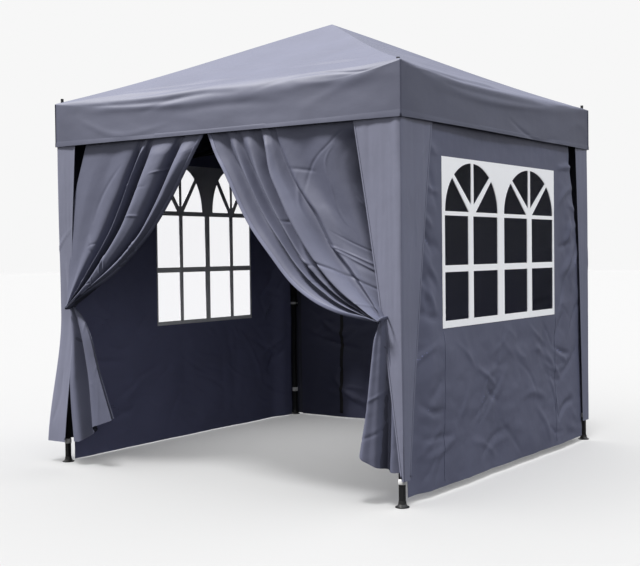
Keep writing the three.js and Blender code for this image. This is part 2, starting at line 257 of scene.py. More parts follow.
def new_material(name, color, roughness, metallic=0.0):
    material = bpy.data.materials.new(name)
    material.use_nodes = True
    shader = material.node_tree.nodes["Principled BSDF"]
    put(shader, {"Base Color": (*color, 1), "Roughness": roughness, "Metallic": metallic})
    return material, shader


def cloth_material(name, color, variation=0.06, crumple=0.12, sheen=0.03, roughness=0.62, gloss=0.35):
    """Coated polyester: a fine weave, a soft crumple and a little unevenness in the dye."""
    material, shader = new_material(name, color, roughness)
    nodes, links = material.node_tree.nodes, material.node_tree.links
    values = {
        "Sheen Weight": sheen,
        "Sheen Roughness": 0.4,
        "Sheen Tint": (0.75, 0.8, 1, 1),
        "Specular IOR Level": gloss,
    }
    put(shader, values)
    place = nodes.new("ShaderNodeTexCoord").outputs["Object"]
    cloud = nodes.new("ShaderNodeTexNoise")
    put(cloud, {"Scale": 3.2, "Detail": 6})
    links.new(place, cloud.inputs["Vector"])
    tint = nodes.new("ShaderNodeMix")
    tint.data_type = "RGBA"
    values = {
        "A": (*[c * (1 - variation) for c in color], 1),
        "B": (*[min(1, c * (1 + variation)) for c in color], 1),
    }
    put(tint, values)
    links.new(ramp(nodes, links, cloud.outputs["Fac"], 0.3, 0.7), tint.inputs["Factor"])
    links.new(tint.outputs["Result"], shader.inputs["Base Color"])
    soft = nodes.new("ShaderNodeTexNoise")
    put(soft, {"Scale": 16, "Detail": 4, "Roughness": 0.45})
    links.new(place, soft.inputs["Vector"])
    dent = nodes.new("ShaderNodeBump")
    put(dent, {"Strength": crumple, "Distance": 0.01})
    links.new(soft.outputs["Fac"], dent.inputs["Height"])
    uv = nodes.new("ShaderNodeUVMap")
    uv.uv_map = "cloth"
    threads = []
    for turn in (0, math.pi / 2):
        spin = nodes.new("ShaderNodeMapping")
        spin.inputs["Rotation"].default_value = (0, 0, turn)
        wave = nodes.new("ShaderNodeTexWave")
        put(wave, {"Scale": 420, "Distortion": 0.4})
        links.new(uv.outputs["UV"], spin.inputs["Vector"])
        links.new(spin.outputs["Vector"], wave.inputs["Vector"])
        threads.append(wave.outputs["Fac"])
    weave = nodes.new("ShaderNodeMath")
    weave.operation = "MULTIPLY"
    links.new(threads[0], weave.inputs[0])
    links.new(threads[1], weave.inputs[1])
    fine = nodes.new("ShaderNodeBump")
    put(fine, {"Strength": 0.05, "Distance": 0.0004})
    links.new(weave.outputs["Value"], fine.inputs["Height"])
    links.new(dent.outputs["Normal"], fine.inputs["Normal"])
    links.new(fine.outputs["Normal"], shader.inputs["Normal"])
    return material


GREY_BLUE = (0.096, 0.102, 0.154)
DARK_BLUE = (0.153, 0.163, 0.284)
CANOPY_BLUE = [c * 0.74 for c in GREY_BLUE]
canopy_cloth = cloth_material("canopy cloth", CANOPY_BLUE, crumple=0.08, roughness=0.6, gloss=0.45)
canopy_lining = cloth_material("canopy lining", [c * 0.55 for c in GREY_BLUE], crumple=0.08)
side_cloth = cloth_material("wall cloth", [c * 0.95 for c in GREY_BLUE], crumple=0.16)
side_lining = cloth_material("wall lining", DARK_BLUE, crumple=0.14)
# painted shade: the back wall's lining is the same cloth as the other walls' lining, darkened to 0.42 to
# stand in for shade inside the back of the tent
back_lining_painted_shade = cloth_material("back wall lining painted shade", [c * 0.42 for c in DARK_BLUE], crumple=0.14)
# painted shade: the curtains are a darker copy of the walls' fabric, standing in for the shade in their folds
# and under the valance
curtain_cloth = cloth_material("curtain cloth painted shade", [c * 0.82 for c in GREY_BLUE], crumple=0.12)
curtain_lining = cloth_material("curtain lining", [c * 0.5 for c in GREY_BLUE], crumple=0.12)
# painted light: the leg covers are a much lighter copy of the same fabric, standing in for the light on their
# faces beside the shaded curtains
cover_cloth = cloth_material("cover cloth painted light", (0.138, 0.144, 0.200), crumple=0.1)
# painted highlight: hems and seams are the fabric lightened by 1.12, a bright line painted where their edges
# catch the light
hem_cloth_painted_highlight = cloth_material("hem cloth painted highlight", [c * 1.12 for c in GREY_BLUE], crumple=0.06)
window_white = cloth_material("window white", (0.97, 0.97, 0.98), 0.02, 0.05, 0.0, 0.5)
window_grey = cloth_material("window grey", (0.80, 0.81, 0.84), 0.03, 0.05, 0.0, 0.6)
tape_black, _ = new_material("black tape", (0.012, 0.012, 0.014), 0.7)
webbing, _ = new_material("pale webbing", (0.55, 0.55, 0.56), 0.8)


def film_material():
    """Clear window film with a faint grey tint and a slight gloss."""
    material = bpy.data.materials.new("window film")
    material.use_nodes = True
    nodes, links = material.node_tree.nodes, material.node_tree.links
    nodes.clear()
    clear = nodes.new("ShaderNodeBsdfTransparent")
    clear.inputs["Color"].default_value = (0.99, 0.99, 1, 1)
    gloss = nodes.new("ShaderNodeBsdfGlossy")
    put(gloss, {"Color": (0.8, 0.83, 0.9, 1), "Roughness": 0.25})
    mix = nodes.new("ShaderNodeMixShader")
    mix.inputs["Fac"].default_value = 0.01
    out = nodes.new("ShaderNodeOutputMaterial")
    links.new(clear.outputs["BSDF"], mix.inputs[1])
    links.new(gloss.outputs["BSDF"], mix.inputs[2])
    links.new(mix.outputs["Shader"], out.inputs["Surface"])
    return material


film = film_material()


def powder_coat(name, color, roughness, grain):
    material, shader = new_material(name, color, roughness)
    nodes, links = material.node_tree.nodes, material.node_tree.links
    speckle = nodes.new("ShaderNodeTexNoise")
    speckle.inputs["Scale"].default_value = grain
    links.new(nodes.new("ShaderNodeTexCoord").outputs["Object"], speckle.inputs["Vector"])
    bump = nodes.new("ShaderNodeBump")
    put(bump, {"Strength": 0.15, "Distance": 0.0006})
    links.new(speckle.outputs["Fac"], bump.inputs["Height"])
    links.new(bump.outputs["Normal"], shader.inputs["Normal"])
    return material


FRAME_LOOKS = {
    "frame_steel": powder_coat("black powder coat", (0.006, 0.006, 0.007), 0.42, 900),
    "black_plastic": powder_coat("black moulded plastic", (0.007, 0.007, 0.008), 0.55, 500),
    "button_plastic": powder_coat("grey moulded plastic", (0.28, 0.29, 0.32), 0.45, 500),
}
for part in frame["record"]["subparts"]:
    look = FRAME_LOOKS.get(part["material_slot"])
    if look:
        slots = frame["nodes"][part["node"]].material_slots
        for slot in slots:
            slot.link = "OBJECT"
            slot.material = look

# ------------------------------------------------------------------ creases


def crease(x, y, path, width, height):
    """A soft ridge along a path on a sheet, fading out at both ends."""
    path = spline(path, 14)
    best = np.full(x.shape, 1e9)
    along = np.zeros(x.shape)
    for k, (a, b) in enumerate(zip(path[:-1], path[1:])):
        d = b - a
        f = np.clip(((x - a[0]) * d[0] + (y - a[1]) * d[1]) / max(d @ d, 1e-12), 0, 1)
        r = np.hypot(x - a[0] - f * d[0], y - a[1] - f * d[1])
        nearer = r < best
        best = np.where(nearer, r, best)
        along = np.where(nearer, (k + f) / (len(path) - 1), along)
    taper = np.sin(math.pi * np.clip(along, 0.0, 1.0)) ** 0.7
    return height * np.exp(-((best / width) ** 2)) * taper


def scatter(x, y, seed, count, box, length, width, height, lean, spread):
    """Random short creases inside a box, each near the angle lean (radians from across)."""
    random = np.random.default_rng(seed)
    total = np.zeros(x.shape)
    for _ in range(count):
        cx, cy = random.uniform(box[0], box[1]), random.uniform(box[2], box[3])
        angle = lean + random.normal() * spread
        half = length * random.uniform(0.5, 1.2) / 2
        bow = half * random.uniform(-0.22, 0.22)
        d = np.array([math.cos(angle), math.sin(angle)])
        side = np.array([-d[1], d[0]])
        c = np.array([cx, cy])
        path = [c - d * half, c + side * bow, c + d * half]
        size = height * random.uniform(0.4, 1.0) * random.choice([-1, 1])
        total += crease(x, y, path, width * random.uniform(0.6, 1.3), size)
    return total


def carry(obj, body, slot_name, joint, axis, anchor, keep):
    """A piece rides on a body, with a mesh of its own."""
    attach(obj, body)
    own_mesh(obj)


def declare(obj, flat, cut_area, held, *carried):
    """Carries a sheet on its body. flat and cut_area are the cut's, worked out from the tent and not from the
    mesh, and are not used.
    """
    carry(obj, *carried)


def seam(name, path, normal, width, proud, material):
    """A flat band that lies on cloth along a path."""
    across = np.cross(np.gradient(path, axis=0), normal)
    across /= np.linalg.norm(across, axis=1, keepdims=True)
    return ribbon(name, path, across, normal, width, proud, material)


# ------------------------------------------------------------------ canopy

SLICES = 6  # a side of the canopy is cut into slices
SLICE_COLUMNS = 26
ROLL_AT_CORNER = 0.008
ROLL_AT_MIDDLE = 0.09
EAVE_SAG = 0.014
HIP_SAG = 0.016
HEM = 0.022
# how far the posts push up the corners of the roof, or the cloth sinks beside them
CORNER_LIFT = {"front_right": 0.010, "back_right": -0.006, "back_left": -0.006, "front_left": -0.007}
SEAM_ROW = 80  # the row of the canopy where the corner seam starts
VALANCE_OUT = 0.015  # the valance hangs clear of the walls between the corners
PANEL_SAG = 0.012
FOLDED_ROOF = 0.16  # how far out a slice reaches when the frame is shut, as a share of its open reach
GORE_LENGTH = math.hypot(HALF, PEAK - EAVE)  # a side of the roof, from the peak to the eave


def spread(t):
    """Where a column lies across a side, from -1 to 1: columns are closer together near the corners."""
    return np.sign(t) * (1 - (1 - np.abs(t)) ** 1.15)


def canopy_surface(side):
    """One side of the canopy from the peak to the hem: local across, outward and up."""
    columns = SLICES * SLICE_COLUMNS + 1
    t = spread(np.linspace(-1, 1, columns))
    middle = 1 - np.abs(t) ** 2.2
    roll = ROLL_AT_CORNER + (ROLL_AT_MIDDLE - ROLL_AT_CORNER) * middle
    corner_z = EAVE - EAVE_SAG * (1 - t**2)
    corner_lift = np.where(t < 0, CORNER_LIFT[CORNERS[side - 1]], CORNER_LIFT[CORNERS[side]])
    corner_z = corner_z + corner_lift * np.abs(t) ** 10
    slope = math.atan2(PEAK - EAVE, HALF)
    start_d = HALF - roll * math.cos(slope)
    start_z = corner_z + roll * math.sin(slope)
    v = np.linspace(0.0, 1, 72)[:, None]
    v = v**0.92
    roof_d = start_d * v
    share = roof_d / HALF
    roof_z = PEAK + (start_z - PEAK) * v
    roof_sag = HIP_SAG * np.sin(math.pi * share**1.6) + PANEL_SAG * (1 - t**2) * np.sin(math.pi * share)
    roof_z = roof_z - roof_sag
    # the sag is nothing at the peak and at the eave
    roof_s = t * roof_d
    b = np.linspace(0, 1, 18)[1:, None]
    end_z = corner_z - roll * 0.95
    last_z = roof_z[-1]
    bend = lambda p, c, q: (1 - b) ** 2 * p + 2 * b * (1 - b) * c + b**2 * q
    bend_d = bend(start_d, HALF, np.full(columns, HALF))
    bend_z = bend(last_z, corner_z, end_z)
    bend_s = bend(t * start_d, t * HALF, t * HALF)
    fold = 1 - HEM / (end_z[columns // 2] - VALANCE)
    above_hem = np.linspace(0, fold - 0.02, 15)[1:]
    w = np.concatenate([above_hem, [fold, fold + 0.012, (fold + 1) / 2, 1]])[:, None]
    hang_z = end_z + (VALANCE - end_z) * w
    hang_d = HALF + VALANCE_OUT * (1 - t**4) * smooth((end_z - hang_z) / 0.22)
    hang_s = np.broadcast_to(t * HALF, hang_z.shape)
    d = np.concatenate([roof_d, bend_d, hang_d])
    z = np.concatenate([roof_z, bend_z, hang_z])
    s = np.concatenate([roof_s, bend_s, hang_s])
    p = np.stack([s, -d, z], axis=2)
    n = grid_normals(p)
    n[0] = n[1]
    fade = np.clip((1 - np.abs(np.broadcast_to(t, z.shape))) / 0.05, 0, 1)
    run = lengths(p, 0)
    reach = run[:, columns // 2][:, None] * np.ones_like(z)  # metres down from the peak
    seed = 40 + 7 * side
    lift = 0.0035 * fractal(s / 0.55, reach / 0.16, seed) + 0.0012 * fractal(s / 0.22, reach / 0.07, seed + 3)
    lift = lift * smooth(reach / 0.5)
    lift += scatter(s, reach, seed + 1, 16, (-1, 1, 0.75, 1.5), 0.7, 0.018, 0.0045, 0, 0.08)
    lift += scatter(s, reach, seed + 2, 8, (-0.6, 0.6, 0.4, 1.1), 0.5, 0.02, 0.003, 0, 0.25)
    random = np.random.default_rng(seed + 9)
    for k in range(9):
        down = 1.10 + 0.034 * k
        left, right = random.uniform(-1.1, -0.7), random.uniform(-0.1, 0.7)
        path = [(left, down + 0.02), ((left + right) / 2, down), (right, down + random.uniform(-0.04, 0.0))]
        lift += crease(s, reach, path, random.uniform(0.012, 0.022), 0.0045 * (-1) ** k)
    if side == 0:
        lift += crease(s, reach, [(0.25, 0.96), (0.6, 0.99), (0.98, 1.03)], 0.013, 0.006)
        lift -= crease(s, reach, [(0.2, 1.0), (0.6, 1.03), (1.0, 1.07)], 0.018, 0.005)
        lift -= crease(s, reach, [(-0.9, 1.16), (-0.2, 1.13), (0.5, 1.17)], 0.03, 0.006)
        lift += crease(s, reach, [(-1.0, 1.22), (-0.3, 1.26), (0.6, 1.24)], 0.03, 0.005)
    hem = smooth((EAVE - z) / 0.26)
    lift += 0.004 * hem * fractal(s / 0.3, z / 0.5, seed + 5)
    lift *= fade
    lift += 0.0016 * (z < VALANCE + HEM - 0.001)
    return p + n * lift[..., None]


def with_canopy(place):
    """How cloth at a place is carried: by the hub. It also gives how it would draw in towards the middle as
    the frame shuts, which carry does not apply.
    """
    out = (place[0] / np.hypot(*place[:2]), place[1] / np.hypot(*place[:2]), 0)
    return "hub", "canopy_cloth", FOLD, out, (0, 0, EAVE), FOLDED_ROOF


def canopy():
    sides = []
    for side in range(4):
        p = canopy_surface(side)
        n = grid_normals(p)
        n[0] = n[2]
        n[1] = n[2]
        sides.append((p, n))
    for side, name in enumerate(SIDES):
        p, n = sides[side]
        # the hip and the edge of the valance are creased seams: each side keeps its own normal there
        for k in range(SLICES):
            a, b = k * SLICE_COLUMNS, (k + 1) * SLICE_COLUMNS
            part, normal = turned(p[:, a : b + 1], side), turned(n[:, a : b + 1], side)
            obj = cloth(f"canopy_{name}_{k + 1}", part, canopy_cloth, canopy_lining, normal)
            low, high = spread(np.array([k, k + 1]) * 2 / SLICES - 1)
            wide = float(high - low) * HALF
            flat = (wide, GORE_LENGTH + EAVE - VALANCE)
            cut_area = wide * (GORE_LENGTH / 2 + EAVE - VALANCE)
            declare(obj, flat, cut_area, "stretched", *with_canopy(part[-1].mean(axis=0)))
        corner_seam(side, p, n)
    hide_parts("canopy")


def corner_seam(side, p, n):
    """The seam down a corner of the valance."""
    last = p.shape[1] - 1
    path = turned(p[SEAM_ROW:, last], side)
    here, beside = turned(n[SEAM_ROW:, last], side), turned(n[SEAM_ROW:, 0], side + 1)
    normal = here + beside
    normal /= np.linalg.norm(normal, axis=1, keepdims=True)
    band = seam(f"canopy_seam_{CORNERS[side]}", path, normal, 0.010, 0.0012, canopy_cloth)
    carry(band, *with_canopy(path[-1]))


canopy()

# ------------------------------------------------------------------ walls

WALL_HALF = 1.112  # half the width of a wall at its widest
STRAIGHT = 0.86  # within this distance of the middle the columns of a wall stand upright


def wall_edge(z):
    """Half the width of a wall at a height: it leans in towards the top."""
    return np.interp(z, [WALL_FOOT, 0.9, 1.45, 1.75, RAIL], [1.106, WALL_HALF, 1.075, 1.0, 0.9])


def slack_edge(z):
    """The same for an edge that hangs slack and draws further in."""
    return np.interp(z, [WALL_FOOT, 0.9, 1.2, 1.6, RAIL], [1.106, WALL_HALF, 1.06, 0.94, 0.875])


def stations(low, high, step, *exact):
    """Even steps from low to high that also pass through the exact values."""
    values = np.linspace(low, high, int(round((high - low) / step)) + 1)
    for value in exact:
        values[np.argmin(np.abs(values - value))] = value
    return values


def flatten_near(x, y, box, margin):
    """0 inside a box, 1 beyond the margin around it."""
    dx = np.maximum(np.maximum(box[0] - x, x - box[1]), 0)
    dy = np.maximum(np.maximum(box[2] - y, y - box[3]), 0)
    return smooth(np.hypot(dx, dy) / margin)


def wall(side, body, window=None, seed=0, lining=side_lining, foot=WALL_FOOT, slack=False):
    """One wall. window is (low s, high s, low z, high z) of the opening that its window covers."""
    name = f"{SIDES[side]}_wall"
    exact_s = window[:2] if window else ()
    exact_z = window[2:] if window else ()
    u = stations(-WALL_HALF, WALL_HALF, 0.0155, *exact_s)
    z = stations(foot, RAIL, 0.0145, *exact_z)[::-1]
    U, Z = np.meshgrid(u, z)
    edge = np.where((U > 0) & slack, slack_edge(Z), wall_edge(Z))
    lean = STRAIGHT + (np.abs(U) - STRAIGHT) * (edge - STRAIGHT) / (WALL_HALF - STRAIGHT)
    S = np.where(np.abs(U) > STRAIGHT, np.sign(U) * lean, U)
    lift = 0.013 * fractal(S / 0.75, Z / 0.6, seed) + 0.006 * fractal(S / 0.26, Z / 0.15, seed + 3)
    lift += 0.0022 * fractal(S / 0.10, Z / 0.07, seed + 8)
    lift += scatter(S, Z, seed + 1, 22, (-1.0, 0.0, 0.1, 0.85), 0.36, 0.018, 0.0065, 0.5, 0.5)
    lift += scatter(S, Z, seed + 7, 22, (0.0, 1.0, 0.1, 0.85), 0.36, 0.018, 0.0065, -0.4, 0.5)
    lift += scatter(S, Z, seed + 2, 16, (-1.05, -0.80, 0.2, 1.8), 0.32, 0.020, 0.013, -0.5, 0.5)
    lift += scatter(S, Z, seed + 4, 16, (0.72, 1.05, 0.2, 1.8), 0.36, 0.020, 0.014, 0.3, 0.4)
    lift += scatter(S, Z, seed + 5, 10, (-0.9, 0.9, 0.2, 1.8), 0.8, 0.04, 0.006, math.pi / 2, 0.12)
    # the foot ripples a little, and the top is flat behind the valance
    lift += 0.008 * (1 - smooth((Z - WALL_FOOT) / 0.5)) * fractal(S / 0.22, Z / 0.9, seed + 6)
    lift *= smooth((RAIL - Z) / 0.16)
    # the edges hang back from the leg covers
    lift = lift * (1 - 0.5 * smooth((np.abs(S) - 0.98) / 0.1))
    lift -= np.where(S < 0, 0.026, 0.006) * smooth((np.abs(S) - 0.90) / 0.14) * smooth((1.87 - Z) / 0.2)
    if window:
        lift *= flatten_near(S, Z, window, 0.16)
    P = np.stack([S, -(WALL + lift), Z], axis=2)
    keep = np.ones((len(z) - 1, len(u) - 1), bool)
    if window:
        cu, cz = (u[1:] + u[:-1]) / 2, (z[1:] + z[:-1]) / 2
        inside_u = (cu > window[0]) & (cu < window[1])
        inside_z = (cz > window[2]) & (cz < window[3])
        keep = ~(inside_z[:, None] & inside_u[None, :])
    part = turned(P, side)
    obj = cloth(name, part, side_cloth, lining, keep=keep)
    opening = (window[1] - window[0]) * (window[3] - window[2]) if window else 0
    flat = (2 * LEG_X, RAIL - foot)
    declare(obj, flat, flat[0] * flat[1] - opening, "stretched", body, "wall_cloth", *gather(side))
    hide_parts(name)
    return P


def gather(side, towards=1):
    """The fold, direction, leg and share for a piece on a side to gather towards one of its legs, the right
    one as seen from outside; carry does not apply them.
    """
    along = turned([1, 0, 0], side)
    leg = turned([towards * LEG_X, -LEG_X, 0], side)
    return FOLD, tuple(along), tuple(leg), FOLDED_SPACING


def flat_sheet(name, outline, holes, out, thick, material, side):
    """A flat sheet on a side of the tent with shaped holes. Outlines are lists of (across, up)."""
    curve = bpy.data.curves.new(name, "CURVE")
    curve.dimensions = "2D"
    curve.fill_mode = "BOTH"
    curve.extrude = thick / 2
    for loop in [outline, *holes]:
        line = curve.splines.new("POLY")
        line.points.add(len(loop) - 1)
        line.use_cyclic_u = True
        for point, (x, y) in zip(line.points, loop):
            point.co = (x, y, 0, 1)
    source = bpy.data.objects.new(name, curve)
    bpy.context.scene.collection.objects.link(source)
    bpy.context.view_layer.update()
    mesh = bpy.data.meshes.new_from_object(source)
    bpy.data.objects.remove(source)
    co = np.array([v.co for v in mesh.vertices])
    local = np.stack([co[:, 0], -(out + co[:, 2]), co[:, 1]], axis=1)
    mesh.vertices.foreach_set("co", turned(local, side).astype(np.float32).ravel())
    mesh.update()
    welded = bpy.data.objects.new(name, mesh)
    mesh.materials.clear()
    mesh.materials.append(material)
    layer = mesh.uv_layers.new(name="cloth")
    loops = np.zeros(len(mesh.loops), int)
    mesh.loops.foreach_get("vertex_index", loops)
    layer.data.foreach_set("uv", co[loops][:, :2].astype(np.float32).ravel())
    bpy.context.scene.collection.objects.link(welded)
    return welded


def rectangle(x0, x1, y0, y1):
    return [(x0, y0), (x1, y0), (x1, y1), (x0, y1)]


def fan(x0, x1, y0, y1, bar):
    """The four lights of an arched top, between a middle mullion and two slanting ones."""
    cx, rx, ry = (x0 + x1) / 2, (x1 - x0) / 2, y1 - y0
    lights = []
    for k in range(4):
        low, high = k * math.pi / 4, (k + 1) * math.pi / 4
        half = bar / 2 / rx
        a = low + (half if k > 0 else 0)
        b = high - (half if k < 3 else 0)
        near = bar / 2 / math.sin(math.pi / 8)
        middle = (low + high) / 2
        apex = (cx + near * math.cos(middle), y0 + near * math.sin(middle))
        if k == 0:
            apex = (cx + bar * 1.3, y0)
        if k == 3:
            apex = (cx - bar * 1.3, y0)
        steps = np.linspace(a, b, 12)
        arc = [(cx + rx * math.cos(t), y0 + ry * math.sin(t)) for t in steps]
        lights.append([apex, *arc])
    return lights


def area_of(loop):
    x, y = np.array(loop).T
    return abs(float(np.dot(x, np.roll(y, -1)) - np.dot(y, np.roll(x, -1)))) / 2


def window(side, body, outer, columns, rows, arches, bar):
    """A window: a lattice, pale outside and dark inside, on a sheet of clear film."""
    label = f"{SIDES[side]}_window"
    holes = [rectangle(x0, x1, y0, y1) for x0, x1 in columns for y0, y1 in rows]
    for arch in arches:
        holes += fan(*arch, bar)
    outline = rectangle(*outer)
    solid = area_of(outline) - sum(area_of(h) for h in holes)
    width, height = outer[1] - outer[0], outer[3] - outer[2]
    pale = flat_sheet(f"{label}_lattice", outline, holes, WALL + 0.0012, 0.0008, window_white, side)
    dark = flat_sheet(f"{label}_lattice_inside", outline, holes, WALL - 0.0022, 0.0008, window_grey, side)
    inset = 0.006
    clear_outline = rectangle(outer[0] + inset, outer[1] - inset, outer[2] + inset, outer[3] - inset)
    clear = flat_sheet(f"{label}_film", clear_outline, [], WALL - 0.0006, 0.0004, film, side)
    for obj, cut in ((pale, solid), (dark, solid), (clear, area_of(clear_outline))):
        declare(obj, (width, height), cut, "stretched", body, "wall_cloth", *gather(side))


def stitch(name, side, body, P, s, low, high, face, width, material):
    """An upright band on a wall, at the place s across. face is 1 on the outside and -1 on the inside."""
    column = P[:, np.argmin(np.abs(P[P.shape[0] // 2, :, 0] - s))]
    column = column[(column[:, 2] > low) & (column[:, 2] < high)]
    column = column + np.array([0, -0.0008 if face > 0 else CLOTH + 0.0008, 0])
    count = len(column)
    points = turned(column, side)
    normal = turned(np.tile([0, -1.0 * face, 0], (count, 1)), side)
    carry(seam(name, points, normal, width, 0.0012, material), body, "wall_cloth", *gather(side))


RIGHT_WINDOW = (-0.780, 0.655, 0.848, 1.732)
RIGHT_COLUMNS = [(-0.750, -0.488), (-0.430, -0.135), (-0.050, 0.260), (0.324, 0.630)]
RIGHT_ROWS = [(0.885, 1.137), (1.172, 1.430)]
RIGHT_ARCHES = [(-0.746, -0.132, 1.452, 1.712), (-0.050, 0.630, 1.452, 1.712)]
LEFT_WINDOW = (-0.657, 0.350, 0.770, 1.850)
LEFT_COLUMNS = [(-0.648, -0.451), (-0.415, -0.194), (-0.146, 0.087), (0.121, 0.342)]
LEFT_ROWS = [(0.795, 1.122), (1.156, 1.505)]
LEFT_ARCHES = [(-0.640, -0.230, 1.535, 1.838), (-0.118, 0.334, 1.535, 1.838)]
FRAME_LAP = 0.012  # the lattice laps over the edge of the hole in the wall


def hole(outer):
    return (outer[0] + FRAME_LAP, outer[1] - FRAME_LAP, outer[2] + FRAME_LAP, outer[3] - FRAME_LAP)


right_wall = wall(1, "back_right_leg", hole(RIGHT_WINDOW), seed=11, foot=0.034, slack=True)
window(1, "back_right_leg", RIGHT_WINDOW, RIGHT_COLUMNS, RIGHT_ROWS, RIGHT_ARCHES, 0.030)
back_wall = wall(2, "back_left_leg", None, seed=21, lining=back_lining_painted_shade, foot=0.006)
wall(3, "front_left_leg", hole(LEFT_WINDOW), seed=31, foot=0.006)
window(3, "front_left_leg", LEFT_WINDOW, LEFT_COLUMNS, LEFT_ROWS, LEFT_ARCHES, 0.026)
ZIP_S = 0.74
# the wall seams take the lightened hem cloth: a painted highlight along them
stitch("right_wall_seam", 1, "back_right_leg", right_wall, 0.68, 0.05, 0.84, 1, 0.005, hem_cloth_painted_highlight)
stitch("right_wall_front_seam", 1, "back_right_leg", right_wall, -0.77, 0.05, 0.84, 1, 0.005, hem_cloth_painted_highlight)
stitch("back_wall_zip", 2, "back_left_leg", back_wall, ZIP_S, 0.03, 1.9, -1, 0.028, tape_black)

# ------------------------------------------------------------------ curtains


def loft(threads, rows, columns):
    """A sheet through threads that run down the cloth. Each thread is a list of (across, out, up)."""
    curves = np.array([spline(t, rows) for t in threads])
    return np.swapaxes(spline(curves, columns), 0, 1)


def even(thread, rows):
    """The same thread with its points spaced evenly along its length."""
    fine = spline(thread, 240)
    run = np.concatenate([[0], np.cumsum(np.linalg.norm(np.diff(fine, axis=0), axis=1))])
    at = np.linspace(0, run[-1], rows)
    return np.stack([np.interp(at, run, fine[:, k]) for k in range(3)], axis=1)


def between(a, b, share):
    return [tuple(p + (q - p) * share) for p, q in zip(np.array(a), np.array(b))]


FOLD_DEPTH = 1.8


def with_out(path, outs):
    """(across, up) points with a distance outwards that is given at the start, middle and end."""
    share = np.linspace(0, 1, len(path))
    out = np.interp(share, np.linspace(0, 1, len(outs)), outs)
    return [(x, -(WALL + min(FOLD_DEPTH * o, 0.078)), z) for (x, z), o in zip(path, out)]


def tuck(p):
    """Keeps the top of a curtain between the scissor bars and the valance."""
    out = -p[..., 1]
    near = smooth((p[..., 2] - 1.80) / (1.89 - 1.80))
    held = np.clip(out, WALL - 0.003, WALL + 0.008)
    result = p.copy()
    result[..., 1] = -(out * (1 - near) + held * near)
    return result


def rumple(p, seed, amount, cell):
    """Small uneven folds along a hanging sheet."""
    n = grid_normals(p)
    u, v = lengths(p, 1), lengths(p, 0)
    lift = amount * fractal(u / cell, v / (cell * 2.6), seed)
    wide, long = float(u.max()), float(v.max())
    box = (0.1 * wide, 0.9 * wide, 0.12 * long, 0.8 * long)
    lift += scatter(u, v, seed + 5, 18, box, 0.3 * long, 0.009, 2 * amount, math.pi / 2, 0.25)
    lift += scatter(u, v, seed + 6, 8, box, 0.12 * long, 0.008, 1.6 * amount, 0.1, 0.4)
    inner = np.ones(p.shape[:2])
    inner *= smooth(np.linspace(0, 1, p.shape[0]) / 0.08)[:, None]
    return p + n * (lift * inner)[..., None]


def hem_of(name, p, column, body, towards, width=0.02, inset=0.010):
    """The doubled hem along one edge of a curtain."""
    normal = grid_normals(p)[:, column]
    step = np.gradient(p[:, column], axis=0)
    step /= np.maximum(np.linalg.norm(step, axis=1, keepdims=True), 1e-9)
    across = np.cross(step, normal)
    sign = 1 if column == 0 else -1
    inward = p[:, column + sign] - p[:, column]
    inward /= np.maximum(np.linalg.norm(inward, axis=1, keepdims=True), 1e-9)
    path = p[:, column] + inward * inset + normal * 0.0006
    # the hem band takes the lightened hem cloth: a painted highlight along the curtain's edge
    band = ribbon(name, path[1:-1], across[1:-1], normal[1:-1], width, 0.0025, hem_cloth_painted_highlight)
    carry(band, body, "curtain_cloth", *gather(0, towards))


def route_lengths(threads):
    return [float(np.linalg.norm(np.diff(np.array(t), axis=0), axis=1).sum()) for t in threads]


def hang(name, p, body, towards, routes, seed=0, amount=0.0026, cell=0.12):
    """Hangs part of a half curtain. Its cut is half the front wide and as long as its routes."""
    p = rumple(p, seed, amount, cell)
    obj = cloth(name, p, curtain_cloth, curtain_lining)
    long = route_lengths(routes)
    cut_area = LEG_X * sum(long) / len(long)
    declare(obj, (LEG_X, max(long)), cut_area, "gathered", body, "curtain_cloth", *gather(0, towards))
    return obj, p


ROWS = 200

# The right curtain, from its free edge to its edge behind the leg cover.
RIGHT_EDGE = [(-24, 1915), (50, 1780), (122, 1675), (274, 1417), (432, 1230), (568, 1088), (710, 996),
              (849, 944),
              (984, 918), (1078, 905)]
RIGHT_RIDGE = [(355, 1915), (400, 1780), (439, 1659), (508, 1530), (573, 1418), (664, 1285), (759, 1166),
               (870, 1060), (990, 975), (1086, 910)]
RIGHT_SOFT = [(440, 1915), (505, 1760), (576, 1621), (648, 1520), (716, 1437), (807, 1281), (880, 1200),
              (942, 1128), (1030, 1010), (1094, 916)]
RIGHT_BACK = [(1000, 1915), (1025, 1760), (1045, 1600), (1062, 1480), (1075, 1370), (1088, 1260),
              (1097, 1160),
              (1104, 1080), (1108, 1000), (1112, 930)]


def metres(path):
    return [(x / 1000, z / 1000) for x, z in path]


